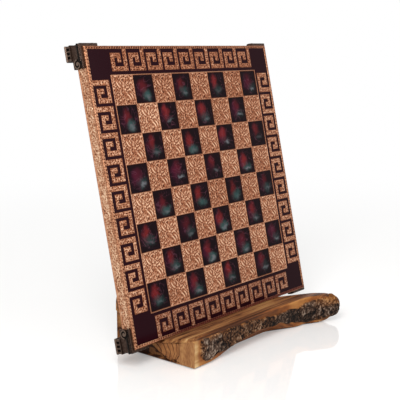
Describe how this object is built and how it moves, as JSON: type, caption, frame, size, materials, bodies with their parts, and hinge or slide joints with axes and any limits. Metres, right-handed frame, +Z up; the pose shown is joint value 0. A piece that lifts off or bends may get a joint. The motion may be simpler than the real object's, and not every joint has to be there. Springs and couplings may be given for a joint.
{
  "type": "chess board on a wooden stand",
  "caption": "Square metal-clad chess board with a key-pattern border and cast corner feet, leaning in a live-edge wooden stand that it lifts out of.",
  "frame": {"origin": "on the table, under the middle of the stand's left-to-right axis and depth", "axes": "+X to the board's right, +Y back, +Z up; the board faces -Y and leans back"},
  "size_m": [0.3696, 0.1913, 0.3818],
  "materials": {
    "core_wood": "raw fibre board",
    "embossed_copper": "satin copper, stamped and lacquered",
    "dark_enamel": "glossy dark oxblood enamel",
    "aged_bronze": "cast bronze, dark patina",
    "brass_screw": "plain brass",
    "felt": "black felt",
    "olive_wood": "oiled olive wood, sawn faces",
    "bark": "rough grey-brown bark"
  },
  "bodies": {
    "stand": {"stand_log": "olive_wood", "stand_bark": "bark", "stand_felt": "felt"},
    "board": {"base_felt": "felt", "core_panel": "core_wood", "corner_foot_far_left": "aged_bronze", "corner_foot_far_right": "aged_bronze", "corner_foot_near_left": "aged_bronze", "corner_foot_near_right": "aged_bronze", "edge_strip_far": "embossed_copper", "edge_strip_left": "embossed_copper", "edge_strip_near": "embossed_copper", "edge_strip_right": "embossed_copper", "enamel_border": "dark_enamel", "enamel_squares": "dark_enamel", "face_plate": "embossed_copper", "foot_pads": "felt", "foot_screws": "brass_screw"}
  },
  "joints": [
    {"name": "board_lift", "type": "slide", "parent": "stand", "child": "board", "axis": [0, 0.2147, 0.9767], "range_m": [0, 0.12]}
  ]
}
